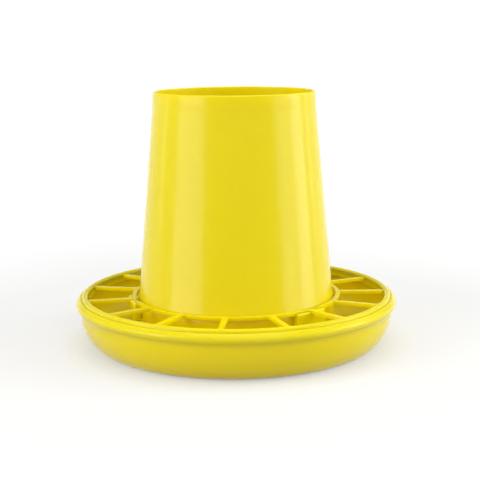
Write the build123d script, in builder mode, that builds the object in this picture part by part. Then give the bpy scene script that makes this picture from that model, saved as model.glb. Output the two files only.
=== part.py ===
from build123d import *
import os
from math import cos, degrees, radians, sin

# Poultry feeder: an open tapered hopper locked into a spoked grille,
# which is snapped into the rim of a round feed pan.
# Millimetres, +Z up, origin at the centre of the pan's base.

# Feed pan
pan_wall = 2.2
base_radius = 125.5
rim_radius = 150.0
belly_arc_radius = 35.9
belly_steps = 4
crease_depth = 4.4
crease_height = 36.4
nose_rise = 1.4
rim_band_height = 5.0
shoulder_size = 3.3
throat_depth = 5.5
throat_land = 1.2
ledge_rise = 2.2
ledge_slope = 1.0
cone_radius = 78.0
cone_rise = 24.0
cone_tip_radius = 14.0

# Feed grille
grille_wall = 1.6
grille_clearance = 0.3
bead_width = 5.1
bead_rise = 1.8
bead_bevel = 1.3
grille_seat_height = 8.8
skirt_depth = 7.0
channel_headroom = 0.2
snap_overlap = 0.6
snap_foot_height = 2.5
spoke_count = 15
first_spoke_angle = -95.6
spoke_width = 4.8
spoke_depth = 3.2
inner_ring_width = 3.65
window_corner_radius = 1.8

# Bayonet pockets, the first of them under this spoke
pocket_count = 3
first_pocket_spoke = 2
pocket_arc = 20.0
pocket_wall = 2.2
pocket_reach = 3.4
pocket_top_drop = 1.2
pocket_depth = 16.4
notch_clearance = 0.5
notch_arc = 8.0
slot_arc = 5.0
slot_height = 5.0
cut_overrun = 1.0

# Hopper
hopper_wall = 1.8
hopper_length = 206.0
hopper_top_radius = 73.9
hopper_bottom_radius = 92.4
hopper_ring_gap = 3.1
collar_height = 9.5
collar_step = 0.4
band_height = 10.0
band_step = 0.6
lug_reach = 3.0
lug_height = 4.0
lug_arc = 6.4
lug_rise = 1.0
lug_turn = 4.6

# Sizes that follow from the ones above
crease_radius = rim_radius - crease_depth
nose_height = crease_height + nose_rise
shoulder_height = nose_height + rim_band_height
lip_height = shoulder_height + shoulder_size
lip_radius = rim_radius - shoulder_size
throat_radius = rim_radius - throat_depth
throat_height = lip_height - throat_land
groove_radius = rim_radius - pan_wall
ledge_height = crease_height + ledge_rise

grille_top = ledge_height + grille_seat_height
grille_radius = throat_radius - grille_clearance
opening_radius = grille_radius - bead_width
snap_radius = throat_radius + snap_overlap
shelf_height = grille_top - pocket_depth
hopper_bottom = shelf_height - lug_rise
hopper_top = hopper_bottom + hopper_length
hopper_slope = (hopper_bottom_radius - hopper_top_radius) / hopper_length
collar_foot = hopper_top - collar_height
collar_foot_radius = hopper_top_radius + hopper_slope * collar_height
band_top = hopper_bottom + band_height
band_top_radius = hopper_bottom_radius - hopper_slope * band_height
ring_inner_radius = hopper_top_radius + hopper_slope * (hopper_top - grille_top) + hopper_ring_gap
ring_outer_radius = ring_inner_radius + inner_ring_width
pocket_radius = ring_outer_radius + pocket_reach
lug_radius = hopper_bottom_radius + band_step + lug_reach
notch_radius = lug_radius + notch_clearance
first_pocket_angle = first_spoke_angle + first_pocket_spoke * 360 / spoke_count
pocket_angles = [first_pocket_angle + index * 360 / pocket_count for index in range(pocket_count)]


def radial_plane(angle):
    """Upright plane through the feeder's axis, with its x pointing outwards at this angle."""
    turn = radians(angle)
    return Plane(origin=(0, 0, 0), x_dir=(cos(turn), sin(turn), 0), z_dir=(sin(turn), -cos(turn), 0))


def floor_line(height):
    """Floor of the pan from the axis out to the belly, with the low spreading cone."""
    Polyline(
        (0, height + cone_rise),
        (cone_tip_radius, height + cone_rise),
        (cone_radius, height),
        (base_radius, height),
    )


def belly_line(inset):
    """Bellied wall of the pan from the floor up to the crease, moved inwards by inset."""
    RadiusArc((base_radius, inset), (crease_radius - inset, crease_height), inset - belly_arc_radius)


def sector(low, high, start, arc, mode=Mode.ADD):
    """Block between two corners (radius, height), swept round the axis from start over arc."""
    with BuildSketch(radial_plane(start)) as section:
        with Locations(((low[0] + high[0]) / 2, (low[1] + high[1]) / 2)):
            Rectangle(high[0] - low[0], high[1] - low[1])
    revolve(section.sketch, axis=Axis.Z, revolution_arc=arc, mode=mode)


# Feed pan: one thin wall from the cone to the lip, with a groove inside its bulged rim.
# The belly is a smooth arc outside and a few flat steps inside.
with BuildPart() as feed_pan:
    with BuildLine(mode=Mode.PRIVATE) as belly:
        belly_line(pan_wall)
    with BuildSketch(Plane.XZ):
        with BuildLine():
            floor_line(0)
            belly_line(0)
            Polyline(
                (crease_radius, crease_height),
                (rim_radius, nose_height),
                (rim_radius, shoulder_height),
                (lip_radius, lip_height),
                (throat_radius, lip_height),
                (throat_radius, throat_height),
                (groove_radius, throat_height - groove_radius + throat_radius),
                (groove_radius, ledge_height + ledge_slope),
                (groove_radius - ledge_slope, ledge_height),
                (crease_radius - pan_wall, ledge_height),
                (crease_radius - pan_wall, crease_height),
            )
            Polyline([belly.line @ (step / belly_steps) for step in range(belly_steps, -1, -1)])
            floor_line(pan_wall)
            Line((0, cone_rise), (0, pan_wall + cone_rise))
        make_face()
    revolve(axis=Axis.Z)
feed_pan.part.label = "feed_pan"

# Feed grille: spoked plate, beaded snap ring at its edge and bayonet pockets round the hopper
with BuildPart() as feed_grille:
    with BuildSketch(Plane.XY.offset(grille_top)):
        Circle(opening_radius + grille_wall / 2)
    extrude(amount=-spoke_depth)
    with BuildSketch(Plane.XY.offset(grille_top)) as windows:
        Circle(opening_radius)
        Circle(ring_outer_radius, mode=Mode.SUBTRACT)
        with PolarLocations((opening_radius + ring_outer_radius) / 2, spoke_count, first_spoke_angle):
            Rectangle(opening_radius, spoke_width, mode=Mode.SUBTRACT)
        fillet(windows.vertices(), window_corner_radius)
    extrude(amount=-spoke_depth, mode=Mode.SUBTRACT)

    with BuildSketch(Plane.XZ):
        with BuildLine():
            Polyline(
                (grille_radius, grille_top),
                (grille_radius, ledge_height + snap_foot_height + snap_overlap),
                (snap_radius, ledge_height + snap_foot_height),
                (snap_radius, ledge_height + snap_overlap),
                (snap_radius - snap_overlap, ledge_height),
                (grille_radius - grille_wall, ledge_height),
                (grille_radius - grille_wall, grille_top + channel_headroom),
                (opening_radius + grille_wall, grille_top + channel_headroom),
                (opening_radius + grille_wall, grille_top - skirt_depth),
                (opening_radius, grille_top - skirt_depth),
                (opening_radius, grille_top),
                (opening_radius + bead_bevel, grille_top + bead_rise),
                (grille_radius - bead_bevel, grille_top + bead_rise),
                close=True,
            )
        make_face()
    revolve(axis=Axis.Z)

    wall_arc = degrees(pocket_wall / pocket_radius)
    for angle in pocket_angles:
        start = angle - pocket_arc / 2
        sector(
            (ring_inner_radius - cut_overrun, shelf_height - pocket_wall),
            (pocket_radius, grille_top - pocket_top_drop),
            start,
            pocket_arc,
        )
        sector(
            (ring_inner_radius - 2 * cut_overrun, shelf_height),
            (pocket_radius - pocket_wall, grille_top - spoke_depth),
            start + wall_arc,
            pocket_arc - 2 * wall_arc,
            Mode.SUBTRACT,
        )
        sector(
            (ring_inner_radius - 2 * cut_overrun, shelf_height + lug_height),
            (notch_radius, grille_top + cut_overrun),
            angle + lug_turn - notch_arc / 2,
            notch_arc,
            Mode.SUBTRACT,
        )
        sector(
            (notch_radius, shelf_height),
            (pocket_radius + cut_overrun, shelf_height + slot_height),
            angle - lug_turn - slot_arc / 2,
            slot_arc,
            Mode.SUBTRACT,
        )
    with BuildSketch(Plane.XY.offset(grille_top + cut_overrun)):
        Circle(ring_inner_radius)
    extrude(amount=-(pocket_depth + pocket_wall + 2 * cut_overrun), mode=Mode.SUBTRACT)
feed_grille.part.label = "feed_grille"

# Hopper: open tapered tube with a collar, a bottom band and three bayonet lugs
with BuildPart() as hopper:
    with BuildSketch(Plane.XZ):
        with BuildLine():
            Polyline(
                (hopper_bottom_radius - hopper_wall, hopper_bottom),
                (hopper_bottom_radius + band_step, hopper_bottom),
                (hopper_bottom_radius + band_step, band_top),
                (band_top_radius, band_top + band_step),
                (collar_foot_radius, collar_foot - collar_step),
                (collar_foot_radius + collar_step, collar_foot),
                (hopper_top_radius + collar_step, hopper_top),
                (hopper_top_radius - hopper_wall, hopper_top),
                close=True,
            )
        make_face()
    revolve(axis=Axis.Z)
    for angle in pocket_angles:
        sector(
            (hopper_bottom_radius - hopper_wall / 2, shelf_height),
            (lug_radius, shelf_height + lug_height),
            angle - lug_turn - lug_arc / 2,
            lug_arc,
        )
hopper.part.label = "hopper"

os.makedirs("parts", exist_ok=True)
export_step(feed_pan.part, "parts/feed_pan.step")
export_step(feed_grille.part, "parts/feed_grille.step")
export_step(hopper.part, "parts/hopper.step")
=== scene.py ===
from math import atan2, cos, degrees, pi, radians, sin, tan

import bmesh
import bpy
from mathutils import Matrix, Vector


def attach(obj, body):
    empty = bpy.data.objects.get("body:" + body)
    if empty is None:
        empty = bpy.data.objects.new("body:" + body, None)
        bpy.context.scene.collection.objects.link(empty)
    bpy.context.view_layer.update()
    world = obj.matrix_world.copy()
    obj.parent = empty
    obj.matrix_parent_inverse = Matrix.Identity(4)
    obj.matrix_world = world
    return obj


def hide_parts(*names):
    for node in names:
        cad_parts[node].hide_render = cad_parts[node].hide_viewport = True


# Poultry feeder in glossy yellow plastic: a tapered hopper standing in a spoked grille,
# which is snapped into the rim of a round feed pan. Metres, +Z up.
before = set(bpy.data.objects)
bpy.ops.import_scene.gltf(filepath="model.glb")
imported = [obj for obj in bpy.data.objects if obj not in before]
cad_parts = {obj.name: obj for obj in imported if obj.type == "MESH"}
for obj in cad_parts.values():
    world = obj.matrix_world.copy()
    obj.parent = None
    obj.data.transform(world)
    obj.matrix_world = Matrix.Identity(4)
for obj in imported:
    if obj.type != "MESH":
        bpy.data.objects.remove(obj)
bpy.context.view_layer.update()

MM = 0.001
ROUND_STEPS = 240

# Slack for joining points, for telling a level or upright edge, and for finding a point by its place
JOIN_SLACK = 0.001 * MM
LEVEL_SLACK = 0.01 * MM
PLACE_SLACK = 0.1 * MM

# Degrees past which an edge is shaded sharp, and past which it counts as a corner to be rounded
SHARP_TURN = 38
CORNER_TURN = 60

# Feed pan
PAN_WALL = 2.2 * MM
BASE_RADIUS = 120.6 * MM
RIM_RADIUS = 150.0 * MM
CREASE_RADIUS = RIM_RADIUS - 4.4 * MM
BELLY_HEIGHT = 32.3 * MM
BELLY_FOOT_RADIUS = 20.0 * MM
BELLY_STEPS = 12
CREASE_HEIGHT = 36.4 * MM
NOSE_HEIGHT = CREASE_HEIGHT + 1.4 * MM
SHOULDER_HEIGHT = NOSE_HEIGHT + 5.0 * MM
SHOULDER_SIZE = 3.3 * MM
LIP_HEIGHT = SHOULDER_HEIGHT + SHOULDER_SIZE
LIP_RADIUS = RIM_RADIUS - SHOULDER_SIZE
THROAT_RADIUS = RIM_RADIUS - 5.5 * MM
THROAT_HEIGHT = LIP_HEIGHT - 1.2 * MM
GROOVE_RADIUS = RIM_RADIUS - PAN_WALL
GROOVE_HEIGHT = THROAT_HEIGHT - GROOVE_RADIUS + THROAT_RADIUS
LEDGE_HEIGHT = CREASE_HEIGHT + 2.2 * MM
LEDGE_SLOPE = 1.0 * MM
SOFT_CREASE = CREASE_HEIGHT - 0.8 * MM
SOFT_NOSE = NOSE_HEIGHT + 1.2 * MM
CREASE_FILLET = 6.4 * MM
NOSE_FILLET = 4.2 * MM
SHOULDER_FILLET = 4.0 * MM
LIP_FILLET = 0.9 * MM
CONE_RADIUS = 78.0 * MM
CONE_RISE = 24.0 * MM
CONE_TIP_RADIUS = 14.0 * MM
CONE_TIP_FILLET = 16.0 * MM
CONE_FOOT_FILLET = 20.0 * MM

# Feed grille
GRILLE_TOP = LEDGE_HEIGHT + 8.8 * MM
GRILLE_RADIUS = THROAT_RADIUS - 0.08 * MM
GRILLE_WALL = 1.6 * MM
BEAD_WIDTH = 5.32 * MM
BEAD_RISE = 1.8 * MM
BEAD_STEPS = 12
OPENING_RADIUS = GRILLE_RADIUS - BEAD_WIDTH
SEAT_RADIUS = OPENING_RADIUS + 0.4 * MM
PLATE_RADIUS = OPENING_RADIUS + GRILLE_WALL / 2
SKIRT_DEPTH = 7.0 * MM
SKIRT_FILLET = 0.4 * MM
CHANNEL_HEADROOM = 0.2 * MM
SNAP_OVERLAP = 0.6 * MM
SNAP_FOOT_HEIGHT = 2.5 * MM
SPOKE_COUNT = 15
SPOKE_PITCH = 360 / SPOKE_COUNT
FIRST_SPOKE = -95.6
SPOKE_WIDTH = 4.8 * MM
SPOKE_DEPTH = 3.2 * MM
PLATE_STEPS = 8 * SPOKE_COUNT
RING_INNER = 93.94 * MM
RING_OUTER = RING_INNER + 3.65 * MM
INNER_CORNER = 1.8 * MM
OUTER_CORNER = 3.0 * MM
TOP_EDGE = 0.45 * MM

# Bayonet pockets under the grille's inner ring
POCKET_COUNT = 3
FIRST_POCKET = FIRST_SPOKE + 2 * SPOKE_PITCH
POCKET_ANGLES = [FIRST_POCKET + 360 / POCKET_COUNT * turn for turn in range(POCKET_COUNT)]
POCKET_ARC = 20.0
POCKET_STEPS = 20
POCKET_WALL = 2.2 * MM
POCKET_SHELL = 2.0 * MM
POCKET_RADIUS = RING_OUTER + 3.4 * MM
POCKET_TOP = GRILLE_TOP - 1.2 * MM
POCKET_EDGE = 2.1 * MM
SHELF_HEIGHT = GRILLE_TOP - 16.4 * MM
NOTCH_RADIUS = 96.5 * MM
NOTCH_ARC = 8.0
SLOT_ARC = 5.0
SLOT_HEIGHT = 5.0 * MM
LUG_TURN = 4.6

# Hopper
HOPPER_WALL = 1.8 * MM
HOPPER_BOTTOM = SHELF_HEIGHT - 1.0 * MM
HOPPER_TOP = HOPPER_BOTTOM + 206.0 * MM
HOPPER_TOP_RADIUS = 73.9 * MM
HOPPER_BOTTOM_RADIUS = 92.4 * MM
COLLAR_FOOT = HOPPER_TOP - 9.5 * MM
COLLAR_STEP = 0.4 * MM
BAND_TOP = HOPPER_BOTTOM + 10.0 * MM
BAND_STEP = 0.6 * MM
BAND_FOOT_FILLET = 0.3 * MM
BAND_TOP_FILLET = 4.0 * MM
RIM_FILLET = 1.0 * MM
STEP_BLEND = 4.5 * MM
STEP_FILLET = 40.0 * MM
LUG_ARC = 6.4
LUG_STEPS = 6
LUG_RADIUS = HOPPER_BOTTOM_RADIUS + 3.6 * MM
LUG_HEIGHT = 4.0 * MM
LUG_EDGE = 0.6 * MM

# Yellow moulding plastic: its two tones in linear light, and the texture of its skin
YELLOW = (0.86, 0.705, 0.004)
YELLOW_DEEP = (0.84, 0.683, 0.003)
FLOW_SCALE = 7.0
FLOW_EDGES = (0.35, 0.65)
HAZE_SCALE = 40.0
ROUGHNESS_RANGE = (0.17, 0.23)
SKIN_SCALE = 700.0
SKIN_STRENGTH = 0.03
SKIN_DEPTH = 0.2 * MM
PLASTIC_IOR = 1.5
GLOSS_LEVEL = 0.25

# Light inside the wall: its share, how far it travels, and that reach for red, green and blue
INNER_LIGHT = 0.8
INNER_REACH = 4.0 * MM
INNER_TINT = (1.0, 1.0, 0.1)

# Photographer's view
CAMERA_DISTANCE = 1049.96 * MM
CAMERA_HEIGHT = 295.89 * MM
CAMERA_PITCH = 10.73
CAMERA_ROLL = -0.56
CAMERA_LENS = 85.47
FILM_WIDTH = 36
FRAME_SHIFT = 0.0094

# Studio: pale paper round the feeder, whose own glow grows from near to far
FLOOR_RADIUS = 20.0
BACKDROP_HEIGHT = 3.2
STAGE_STEPS = 64
PAPER_ALBEDO = 0.5
NEAR_GLOW = 0.42
FAR_GLOW = 0.9
NEAR_DISTANCE = 0.3
FAR_DISTANCE = 1.3

# Lamps
SKY_STRENGTH = 0.39
SIDE_LAMP_DISTANCE = 1.5
SIDE_LAMP_HEIGHT = 0.72
SIDE_LAMP_TALL = 1.2


def pen(mesh, radius, height):
    """First point of a profile in the upright plane of X."""
    return mesh.verts.new((radius, 0, height))


def line_to(mesh, start, radius, height):
    """Straight run of a profile."""
    end = mesh.verts.new((radius, 0, height))
    mesh.edges.new((start, end))
    return end


def arc_from(mesh, start, centre, turn, steps):
    """Round run of a profile about a centre (radius, height)."""
    swept = bmesh.ops.spin(
        mesh,
        geom=[start],
        cent=(centre[0], 0, centre[1]),
        axis=(0, 1, 0),
        dvec=(0, 0, 0),
        angle=radians(turn),
        steps=steps,
        use_merge=False,
        use_normal_flip=False,
        use_duplicate=False,
    )
    return [item for item in swept["geom_last"] if isinstance(item, bmesh.types.BMVert)][0]


def round_corner(mesh, corner, radius, segments):
    """Fillet of this radius at a corner of a profile."""
    before, after = [edge.other_vert(corner).co - corner.co for edge in corner.link_edges]
    reach = radius / tan(before.angle(after) / 2)
    bmesh.ops.bevel(
        mesh,
        geom=[corner],
        offset=reach,
        offset_type="OFFSET",
        segments=segments,
        profile=0.5,
        affect="VERTICES",
        material=-1,
    )


def turn_profile(mesh, steps=ROUND_STEPS):
    """Spins everything drawn so far once round the upright axis and closes it."""
    bmesh.ops.spin(
        mesh,
        geom=mesh.verts[:] + mesh.edges[:],
        cent=(0, 0, 0),
        axis=(0, 0, 1),
        dvec=(0, 0, 0),
        angle=2 * pi,
        steps=steps,
        use_merge=True,
        use_normal_flip=False,
        use_duplicate=False,
    )
    bmesh.ops.remove_doubles(mesh, verts=mesh.verts[:], dist=JOIN_SLACK)
    bmesh.ops.recalc_face_normals(mesh, faces=mesh.faces[:])


def sweep_section(mesh, start, arc, steps):
    """Fills the outline drawn so far and sweeps it round the upright axis, from start over arc."""
    bmesh.ops.contextual_create(mesh, geom=mesh.edges[:])
    turn = Matrix.Rotation(radians(start), 3, "Z")
    bmesh.ops.rotate(mesh, cent=(0, 0, 0), matrix=turn, verts=mesh.verts[:])
    bmesh.ops.spin(
        mesh,
        geom=mesh.verts[:] + mesh.edges[:] + mesh.faces[:],
        cent=(0, 0, 0),
        axis=(0, 0, 1),
        dvec=(0, 0, 0),
        angle=radians(arc),
        steps=steps,
        use_merge=False,
        use_normal_flip=False,
        use_duplicate=False,
    )
    bmesh.ops.recalc_face_normals(mesh, faces=mesh.faces[:])


def soften(mesh, edges, width, segments):
    """Rounds these edges."""
    bmesh.ops.bevel(
        mesh,
        geom=edges,
        offset=width,
        offset_type="OFFSET",
        segments=segments,
        profile=0.5,
        affect="EDGES",
        material=-1,
        clamp_overlap=True,
    )


def is_corner(edge):
    """True where two faces meet at a clear corner."""
    return len(edge.link_faces) == 2 and edge.calc_face_angle() > radians(CORNER_TURN)


def is_at(value, target):
    """True where a radius, height or width is the one looked for."""
    return abs(value - target) < PLACE_SLACK


def outward(angle):
    """Level direction at this angle from +X."""
    return Vector((cos(radians(angle)), sin(radians(angle)), 0))


def turned_from(point, angle):
    """Signed turn in degrees from this angle to where a point lies."""
    return (degrees(atan2(point.y, point.x)) - angle + 180) % 360 - 180


def off_spoke(point):
    """How far a point lies beside the centre line of its nearest spoke."""
    nearest = FIRST_SPOKE + SPOKE_PITCH * round(turned_from(point, FIRST_SPOKE) / SPOKE_PITCH)
    return abs(point.dot(outward(nearest + 90)))


def slice_sector(mesh, angle, offset, low, high):
    """Cuts the faces near this angle, between two radii, by an upright plane that runs outwards."""
    near = []
    for face in mesh.faces:
        middle = face.calc_center_median()
        if abs(turned_from(middle, angle)) < SPOKE_PITCH / 2 and low < middle.xy.length < high:
            near.append(face)
    geometry = dict.fromkeys(near)
    for face in near:
        geometry.update(dict.fromkeys(face.edges))
        geometry.update(dict.fromkeys(face.verts))
    side = outward(angle + 90)
    bmesh.ops.bisect_plane(
        mesh,
        geom=list(geometry),
        dist=JOIN_SLACK,
        plane_co=side * offset,
        plane_no=side,
        clear_inner=False,
        clear_outer=False,
    )


def gather(meshes):
    """Puts several closed meshes together as one moulding."""
    whole = bmesh.new()
    for mesh in meshes:
        data = bpy.data.meshes.new("part_of_moulding")
        mesh.to_mesh(data)
        mesh.free()
        whole.from_mesh(data)
        bpy.data.meshes.remove(data)
    return whole


def finish_piece(mesh, name, node, finish):
    """Turns the mesh into the visible piece that stands for a moulding of the frame."""
    data = bpy.data.meshes.new(name)
    mesh.to_mesh(data)
    mesh.free()
    data.shade_smooth()
    data.set_sharp_from_angle(angle=radians(SHARP_TURN))
    data.materials.append(finish)
    piece = bpy.data.objects.new(name, data)
    bpy.context.scene.collection.objects.link(piece)
    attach(piece, "root")
    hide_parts(node)
    return piece


def add_noise(tree, place, scale, detail):
    """Noise over the piece's own coordinates."""
    noise = tree.nodes.new("ShaderNodeTexNoise")
    noise.inputs["Scale"].default_value = scale
    noise.inputs["Detail"].default_value = detail
    tree.links.new(place.outputs["Object"], noise.inputs["Vector"])
    return noise


def moulded_plastic(name, tone, deep_tone):
    """Glossy polyethylene with faint flow marks, a fine skin texture and soft scuffs."""
    material = bpy.data.materials.new(name)
    material.use_nodes = True
    tree = material.node_tree
    nodes, links = tree.nodes, tree.links
    shader = nodes["Principled BSDF"]
    place = nodes.new("ShaderNodeTexCoord")

    flow = add_noise(tree, place, FLOW_SCALE, 1.0)
    flow.inputs["Roughness"].default_value = 0.4
    flow_tone = nodes.new("ShaderNodeValToRGB")
    for stop, position, colour in zip(flow_tone.color_ramp.elements, FLOW_EDGES, (deep_tone, tone)):
        stop.position = position
        stop.color = (*colour, 1)
    links.new(flow.outputs["Fac"], flow_tone.inputs["Fac"])
    links.new(flow_tone.outputs["Color"], shader.inputs["Base Color"])

    haze = add_noise(tree, place, HAZE_SCALE, 3.0)
    haze_range = nodes.new("ShaderNodeMapRange")
    haze_range.inputs["To Min"].default_value = ROUGHNESS_RANGE[0]
    haze_range.inputs["To Max"].default_value = ROUGHNESS_RANGE[1]
    links.new(haze.outputs["Fac"], haze_range.inputs["Value"])
    links.new(haze_range.outputs["Result"], shader.inputs["Roughness"])

    skin = add_noise(tree, place, SKIN_SCALE, 2.0)
    bump = nodes.new("ShaderNodeBump")
    bump.inputs["Strength"].default_value = SKIN_STRENGTH
    bump.inputs["Distance"].default_value = SKIN_DEPTH
    links.new(skin.outputs["Fac"], bump.inputs["Height"])
    links.new(bump.outputs["Normal"], shader.inputs["Normal"])

    shader.inputs["IOR"].default_value = PLASTIC_IOR
    shader.inputs["Specular IOR Level"].default_value = GLOSS_LEVEL
    shader.inputs["Subsurface Weight"].default_value = INNER_LIGHT
    shader.inputs["Subsurface Radius"].default_value = INNER_TINT
    shader.inputs["Subsurface Scale"].default_value = INNER_REACH
    return material


def belly_radius(inset):
    """Radius of the long upper arc of the belly, which meets the foot arc smoothly."""
    width = CREASE_RADIUS - BASE_RADIUS - inset
    height = BELLY_HEIGHT - inset
    foot = BELLY_FOOT_RADIUS - inset
    return (width**2 + height**2 - 2 * height * foot) / (2 * (width - foot))


def draw_belly(mesh, start, inset):
    """Bellied wall of the pan from its foot up to below the crease, moved inwards by inset."""
    foot = BELLY_FOOT_RADIUS - inset
    long_radius = belly_radius(inset)
    foot_centre = (BASE_RADIUS, inset + foot)
    long_centre = (CREASE_RADIUS - inset - long_radius, BELLY_HEIGHT)
    rise = atan2(long_centre[1] - foot_centre[1], foot_centre[0] - long_centre[0])
    foot_turn = 90 - degrees(rise)
    knee = arc_from(mesh, start, foot_centre, -foot_turn, BELLY_STEPS)
    return arc_from(mesh, knee, long_centre, foot_turn - 90, BELLY_STEPS)


def build_pan(finish):
    """Feed pan: low cone, flat floor, bellied wall, and a bulged rim with its groove and ledge."""
    mesh = bmesh.new()
    tip = pen(mesh, 0, CONE_RISE)
    shelf = line_to(mesh, tip, CONE_TIP_RADIUS, CONE_RISE)
    foot = line_to(mesh, shelf, CONE_RADIUS, 0)
    heel = line_to(mesh, foot, BASE_RADIUS, 0)
    belly_top = draw_belly(mesh, heel, 0)
    crease = line_to(mesh, belly_top, CREASE_RADIUS, SOFT_CREASE)
    nose = line_to(mesh, crease, RIM_RADIUS, SOFT_NOSE)
    shoulder = line_to(mesh, nose, RIM_RADIUS, SHOULDER_HEIGHT)
    lip = line_to(mesh, shoulder, LIP_RADIUS, LIP_HEIGHT)
    throat = line_to(mesh, lip, THROAT_RADIUS, LIP_HEIGHT)
    throat_low = line_to(mesh, throat, THROAT_RADIUS, THROAT_HEIGHT)
    groove_top = line_to(mesh, throat_low, GROOVE_RADIUS, GROOVE_HEIGHT)
    groove_low = line_to(mesh, groove_top, GROOVE_RADIUS, LEDGE_HEIGHT + LEDGE_SLOPE)
    ledge_out = line_to(mesh, groove_low, GROOVE_RADIUS - LEDGE_SLOPE, LEDGE_HEIGHT)
    ledge_in = line_to(mesh, ledge_out, CREASE_RADIUS - PAN_WALL, LEDGE_HEIGHT)

    inner_tip = pen(mesh, 0, CONE_RISE + PAN_WALL)
    inner_shelf = line_to(mesh, inner_tip, CONE_TIP_RADIUS, CONE_RISE + PAN_WALL)
    inner_foot = line_to(mesh, inner_shelf, CONE_RADIUS, PAN_WALL)
    inner_heel = line_to(mesh, inner_foot, BASE_RADIUS, PAN_WALL)
    inner_top = draw_belly(mesh, inner_heel, PAN_WALL)
    mesh.edges.new((inner_top, ledge_in))

    for corner, radius in (
        (shelf, CONE_TIP_FILLET),
        (foot, CONE_FOOT_FILLET),
        (inner_shelf, CONE_TIP_FILLET),
        (inner_foot, CONE_FOOT_FILLET),
        (crease, CREASE_FILLET),
        (nose, NOSE_FILLET),
        (shoulder, SHOULDER_FILLET),
        (lip, LIP_FILLET),
        (ledge_in, LIP_FILLET),
    ):
        round_corner(mesh, corner, radius, segments=6)
    turn_profile(mesh)
    return finish_piece(mesh, "pan_moulding", "feed_pan", finish)


def hopper_radius(height):
    """Outer radius of the plain taper at this height."""
    slope = (HOPPER_BOTTOM_RADIUS - HOPPER_TOP_RADIUS) / (HOPPER_TOP - HOPPER_BOTTOM)
    return HOPPER_BOTTOM_RADIUS - slope * (height - HOPPER_BOTTOM)


def build_lug(angle):
    """Bayonet lug that stands out from the foot of the hopper."""
    mesh = bmesh.new()
    root = HOPPER_BOTTOM_RADIUS - HOPPER_WALL / 2
    first = pen(mesh, root, SHELF_HEIGHT)
    tip = line_to(mesh, first, LUG_RADIUS, SHELF_HEIGHT)
    top = line_to(mesh, tip, LUG_RADIUS, SHELF_HEIGHT + LUG_HEIGHT)
    last = line_to(mesh, top, root, SHELF_HEIGHT + LUG_HEIGHT)
    mesh.edges.new((last, first))
    sweep_section(mesh, angle - LUG_ARC / 2, LUG_ARC, LUG_STEPS)
    outer = []
    for edge in mesh.edges:
        reach = max(vert.co.xy.length for vert in edge.verts)
        if is_corner(edge) and reach > LUG_RADIUS - PLACE_SLACK:
            outer.append(edge)
    soften(mesh, outer, LUG_EDGE, segments=3)
    return mesh


def build_hopper(finish):
    """Hopper: open tapered tube with a rounded collar, a bottom band and three lugs."""
    mesh = bmesh.new()
    blend_low = BAND_TOP + STEP_BLEND
    blend_high = COLLAR_FOOT - STEP_BLEND
    start = pen(mesh, HOPPER_BOTTOM_RADIUS - HOPPER_WALL, HOPPER_BOTTOM)
    band_low = line_to(mesh, start, HOPPER_BOTTOM_RADIUS + BAND_STEP, HOPPER_BOTTOM)
    band_high = line_to(mesh, band_low, HOPPER_BOTTOM_RADIUS + BAND_STEP, BAND_TOP)
    wall_low = line_to(mesh, band_high, hopper_radius(blend_low), blend_low)
    wall_high = line_to(mesh, wall_low, hopper_radius(blend_high), blend_high)
    collar_low = line_to(mesh, wall_high, hopper_radius(COLLAR_FOOT) + COLLAR_STEP, COLLAR_FOOT)
    rim_out = line_to(mesh, collar_low, HOPPER_TOP_RADIUS + COLLAR_STEP, HOPPER_TOP)
    rim_in = line_to(mesh, rim_out, HOPPER_TOP_RADIUS - HOPPER_WALL, HOPPER_TOP)
    mesh.edges.new((rim_in, start))
    for corner, radius in (
        (rim_out, RIM_FILLET),
        (rim_in, RIM_FILLET),
        (band_low, BAND_FOOT_FILLET),
        (band_high, BAND_TOP_FILLET),
        (collar_low, STEP_FILLET),
        (wall_high, STEP_FILLET),
    ):
        round_corner(mesh, corner, radius, segments=4)
    turn_profile(mesh)
    lugs = [build_lug(angle - LUG_TURN) for angle in POCKET_ANGLES]
    whole = gather([mesh, *lugs])
    return finish_piece(whole, "hopper_moulding", "hopper", finish)


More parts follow.
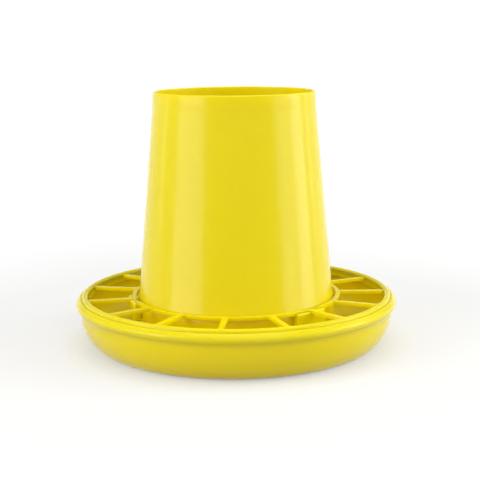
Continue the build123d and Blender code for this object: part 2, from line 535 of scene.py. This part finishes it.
def build_plate():
    """Spoked plate with rounded windows, bayonet notches and softened top edges."""
    mesh = bmesh.new()
    last = pen(mesh, RING_INNER, GRILLE_TOP)
    for radius in (NOTCH_RADIUS, RING_OUTER, SEAT_RADIUS, PLATE_RADIUS):
        last = line_to(mesh, last, radius, GRILLE_TOP)
    turn = Matrix.Rotation(radians(FIRST_SPOKE), 3, "Z")
    bmesh.ops.rotate(mesh, cent=(0, 0, 0), matrix=turn, verts=mesh.verts[:])
    turn_profile(mesh, PLATE_STEPS)
    for index in range(SPOKE_COUNT):
        angle = FIRST_SPOKE + index * SPOKE_PITCH
        for side in (-1, 1):
            slice_sector(mesh, angle, side * SPOKE_WIDTH / 2, RING_OUTER, SEAT_RADIUS)
    for angle in POCKET_ANGLES:
        for side in (-1, 1):
            slice_sector(mesh, angle + LUG_TURN + side * NOTCH_ARC / 2, 0, 0, NOTCH_RADIUS)

    gone = []
    for face in mesh.faces:
        middle = face.calc_center_median()
        radius = middle.xy.length
        in_window = RING_OUTER < radius < SEAT_RADIUS and off_spoke(middle) > SPOKE_WIDTH / 2
        turns = [abs(turned_from(middle, angle + LUG_TURN)) for angle in POCKET_ANGLES]
        in_notch = radius < NOTCH_RADIUS and min(turns) < NOTCH_ARC / 2
        if in_window or in_notch:
            gone.append(face)
    bmesh.ops.delete(mesh, geom=gone, context="FACES")

    raised = bmesh.ops.extrude_face_region(mesh, geom=mesh.faces[:], use_keep_orig=True)
    lowered = [item for item in raised["geom"] if isinstance(item, bmesh.types.BMVert)]
    bmesh.ops.translate(mesh, vec=(0, 0, -SPOKE_DEPTH), verts=lowered)
    bmesh.ops.recalc_face_normals(mesh, faces=mesh.faces[:])

    for radius, width in ((RING_OUTER, INNER_CORNER), (SEAT_RADIUS, OUTER_CORNER)):
        corners = []
        for edge in mesh.edges:
            foot, head = (vert.co for vert in edge.verts)
            upright = (foot - head).xy.length < LEVEL_SLACK
            beside_spoke = is_at(off_spoke(foot), SPOKE_WIDTH / 2)
            if upright and beside_spoke and is_at(foot.xy.length, radius):
                corners.append(edge)
        soften(mesh, corners, width, segments=5)

    rims = []
    for edge in mesh.edges:
        foot, head = (vert.co for vert in edge.verts)
        on_top = min(foot.z, head.z) > GRILLE_TOP - LEVEL_SLACK
        inside = foot.xy.length < PLATE_RADIUS - PLACE_SLACK
        if on_top and inside and is_corner(edge):
            rims.append(edge)
    soften(mesh, rims, TOP_EDGE, segments=3)
    bmesh.ops.dissolve_degenerate(mesh, dist=JOIN_SLACK, edges=mesh.edges[:])
    return mesh


def build_snap_ring():
    """Beaded ring: round bead, inner skirt, channel below, and an outer leg with its snap foot."""
    mesh = bmesh.new()
    snap_radius = THROAT_RADIUS + SNAP_OVERLAP
    foot_top = LEDGE_HEIGHT + SNAP_FOOT_HEIGHT
    channel_top = GRILLE_TOP + CHANNEL_HEADROOM
    skirt_foot = GRILLE_TOP - SKIRT_DEPTH
    half = BEAD_WIDTH / 2
    crown_radius = (half**2 + BEAD_RISE**2) / (2 * BEAD_RISE)
    crown_turn = 2 * degrees(atan2(half, crown_radius - BEAD_RISE))
    start = pen(mesh, OPENING_RADIUS, GRILLE_TOP)
    crown_centre = (OPENING_RADIUS + half, GRILLE_TOP + BEAD_RISE - crown_radius)
    crown_end = arc_from(mesh, start, crown_centre, crown_turn, BEAD_STEPS)
    leg = line_to(mesh, crown_end, GRILLE_RADIUS, foot_top + SNAP_OVERLAP)
    nose = line_to(mesh, leg, snap_radius, foot_top)
    toe = line_to(mesh, nose, snap_radius, LEDGE_HEIGHT + SNAP_OVERLAP)
    sole = line_to(mesh, toe, snap_radius - SNAP_OVERLAP, LEDGE_HEIGHT)
    heel = line_to(mesh, sole, GRILLE_RADIUS - GRILLE_WALL, LEDGE_HEIGHT)
    channel_out = line_to(mesh, heel, GRILLE_RADIUS - GRILLE_WALL, channel_top)
    channel_in = line_to(mesh, channel_out, OPENING_RADIUS + GRILLE_WALL, channel_top)
    skirt_out = line_to(mesh, channel_in, OPENING_RADIUS + GRILLE_WALL, skirt_foot)
    skirt_in = line_to(mesh, skirt_out, OPENING_RADIUS, skirt_foot)
    mesh.edges.new((skirt_in, start))
    for corner in (skirt_out, skirt_in, heel):
        round_corner(mesh, corner, SKIRT_FILLET, segments=3)
    turn_profile(mesh)
    return mesh


def build_pocket(angle):
    """Bayonet pocket: a hollow box with rounded edges, open to the hopper, with a slot in its wall."""
    mesh = bmesh.new()
    slot_top = SHELF_HEIGHT + SLOT_HEIGHT
    first = pen(mesh, RING_INNER, POCKET_TOP)
    last = first
    for radius, height in (
        (NOTCH_RADIUS, POCKET_TOP),
        (POCKET_RADIUS, POCKET_TOP),
        (POCKET_RADIUS, slot_top),
        (POCKET_RADIUS, SHELF_HEIGHT),
        (POCKET_RADIUS, SHELF_HEIGHT - POCKET_WALL),
        (RING_INNER, SHELF_HEIGHT - POCKET_WALL),
    ):
        last = line_to(mesh, last, radius, height)
    mesh.edges.new((last, first))
    sweep_section(mesh, angle - POCKET_ARC / 2, POCKET_ARC, POCKET_STEPS)
    slot = angle - LUG_TURN
    for side in (-1, 1):
        slice_sector(mesh, slot + side * SLOT_ARC / 2, 0, POCKET_RADIUS - PLACE_SLACK, RIM_RADIUS)

    gone = []
    for face in mesh.faces:
        middle = face.calc_center_median()
        radius = middle.xy.length
        in_mouth = radius < RING_INNER + PLACE_SLACK
        under_ring = is_at(middle.z, POCKET_TOP) and radius < NOTCH_RADIUS
        on_wall = radius > POCKET_RADIUS - PLACE_SLACK and SHELF_HEIGHT < middle.z < slot_top
        in_slot = on_wall and abs(turned_from(middle, slot)) < SLOT_ARC / 2
        if in_mouth or under_ring or in_slot:
            gone.append(face)
    bmesh.ops.delete(mesh, geom=gone, context="FACES")
    edges = [edge for edge in mesh.edges if is_corner(edge)]
    soften(mesh, edges, POCKET_EDGE, segments=5)
    bmesh.ops.solidify(mesh, geom=mesh.faces[:], thickness=POCKET_SHELL)
    return mesh


def build_grille(finish):
    """Feed grille: spoked plate, beaded snap ring and bayonet pockets, moulded in one."""
    pockets = [build_pocket(angle) for angle in POCKET_ANGLES]
    whole = gather([build_plate(), build_snap_ring(), *pockets])
    return finish_piece(whole, "grille_moulding", "feed_grille", finish)


def place_camera():
    """Camera that sees the feeder as the photograph does."""
    data = bpy.data.cameras.new("photo_view")
    data.sensor_width = FILM_WIDTH
    data.lens = CAMERA_LENS
    data.shift_x = FRAME_SHIFT
    camera = bpy.data.objects.new("photo_view", data)
    camera.matrix_world = (
        Matrix.Translation((0, -CAMERA_DISTANCE, CAMERA_HEIGHT))
        @ Matrix.Rotation(radians(90 - CAMERA_PITCH), 4, "X")
        @ Matrix.Rotation(radians(CAMERA_ROLL), 4, "Z")
    )
    bpy.context.scene.collection.objects.link(camera)
    bpy.context.scene.camera = camera


def seen_directly(nodes, links):
    """1 for rays that show the paper to the camera, in a mirror or through glass."""
    path = nodes.new("ShaderNodeLightPath")
    either = nodes.new("ShaderNodeMath")
    either.operation = "MAXIMUM"
    links.new(path.outputs["Is Camera Ray"], either.inputs[0])
    links.new(path.outputs["Is Glossy Ray"], either.inputs[1])
    any_of = nodes.new("ShaderNodeMath")
    any_of.operation = "MAXIMUM"
    links.new(either.outputs[0], any_of.inputs[0])
    links.new(path.outputs["Is Transmission Ray"], any_of.inputs[1])
    return any_of.outputs[0]


def pale_paper(name, near_glow):
    """Studio paper: plain diffuse, with a glow of its own where it is seen, fuller far away."""
    material = bpy.data.materials.new(name)
    material.use_nodes = True
    nodes, links = material.node_tree.nodes, material.node_tree.links
    nodes.clear()
    paper = nodes.new("ShaderNodeBsdfDiffuse")
    paper.inputs["Color"].default_value = (PAPER_ALBEDO, PAPER_ALBEDO, PAPER_ALBEDO, 1)
    place = nodes.new("ShaderNodeTexCoord")
    distance = nodes.new("ShaderNodeVectorMath")
    distance.operation = "LENGTH"
    links.new(place.outputs["Object"], distance.inputs[0])
    glow = nodes.new("ShaderNodeMapRange")
    glow.inputs["From Min"].default_value = NEAR_DISTANCE
    glow.inputs["From Max"].default_value = FAR_DISTANCE
    glow.inputs["To Min"].default_value = near_glow
    glow.inputs["To Max"].default_value = FAR_GLOW
    links.new(distance.outputs["Value"], glow.inputs["Value"])
    strength = nodes.new("ShaderNodeMath")
    strength.operation = "MULTIPLY"
    links.new(glow.outputs["Result"], strength.inputs[0])
    links.new(seen_directly(nodes, links), strength.inputs[1])
    light = nodes.new("ShaderNodeEmission")
    links.new(strength.outputs[0], light.inputs["Strength"])
    both = nodes.new("ShaderNodeAddShader")
    links.new(paper.outputs[0], both.inputs[0])
    links.new(light.outputs[0], both.inputs[1])
    output = nodes.new("ShaderNodeOutputMaterial")
    links.new(both.outputs[0], output.inputs["Surface"])
    return material


def add_sheet(mesh, name, near_glow):
    """Makes a sheet of studio paper that belongs to the set."""
    data = bpy.data.meshes.new(name)
    mesh.to_mesh(data)
    mesh.free()
    data.materials.append(pale_paper(name, near_glow))
    sheet = bpy.data.objects.new(name, data)
    bpy.context.scene.collection.objects.link(sheet)


def build_stage():
    """Pale round floor with a low sheet standing all round its far edge."""
    floor = bmesh.new()
    bmesh.ops.create_circle(floor, cap_ends=True, radius=FLOOR_RADIUS, segments=STAGE_STEPS)
    add_sheet(floor, "floor", NEAR_GLOW)
    backdrop = bmesh.new()
    bmesh.ops.create_circle(backdrop, radius=FLOOR_RADIUS, segments=STAGE_STEPS)
    raised = bmesh.ops.extrude_edge_only(backdrop, edges=backdrop.edges[:])
    top = [item for item in raised["geom"] if isinstance(item, bmesh.types.BMVert)]
    bmesh.ops.translate(backdrop, vec=(0, 0, BACKDROP_HEIGHT), verts=top)
    add_sheet(backdrop, "backdrop", FAR_GLOW)


def softbox(name, azimuth, distance, height, width, tall, power, tilt=0):
    """Flat lamp facing the axis, turned from the camera's side towards +X and tilted down."""
    data = bpy.data.lights.new(name, "AREA")
    data.shape = "RECTANGLE"
    data.size = width
    data.size_y = tall
    data.energy = power
    lamp = bpy.data.objects.new(name, data)
    lamp.matrix_world = (
        Matrix.Rotation(radians(azimuth), 4, "Z")
        @ Matrix.Translation((0, -distance, height))
        @ Matrix.Rotation(radians(90 - tilt), 4, "X")
    )
    bpy.context.scene.collection.objects.link(lamp)


def light_scene():
    """Soft sky, tall lamps round the sides, one overhead and one above the camera."""
    world = bpy.data.worlds.new("studio")
    world.use_nodes = True
    sky = world.node_tree.nodes["Background"]
    sky.inputs["Color"].default_value = (1, 1, 1, 1)
    sky.inputs["Strength"].default_value = SKY_STRENGTH
    bpy.context.scene.world = world
    for name, azimuth, width, power in (
        ("left_softbox", -60, 1.1, 14),
        ("left_strip", -106, 0.16, 0.7),
        ("right_softbox", 66, 0.56, 5.5),
        ("right_side_softbox", 91, 0.6, 10),
        ("right_strip", 114, 0.18, 1.2),
    ):
        softbox(name, azimuth, SIDE_LAMP_DISTANCE, SIDE_LAMP_HEIGHT, width, SIDE_LAMP_TALL, power)
    softbox("top_softbox", 0, distance=0.2, height=1.8, width=1.6, tall=1.6, power=12, tilt=90)
    softbox("front_key", 14, distance=1.6, height=1.15, width=1.4, tall=0.7, power=5.4, tilt=33)


plastic = moulded_plastic("yellow_plastic", YELLOW, YELLOW_DEEP)
build_pan(plastic)
build_hopper(plastic)
build_grille(plastic)
place_camera()
build_stage()
light_scene()

bpy.context.scene.view_settings.view_transform = "Standard"
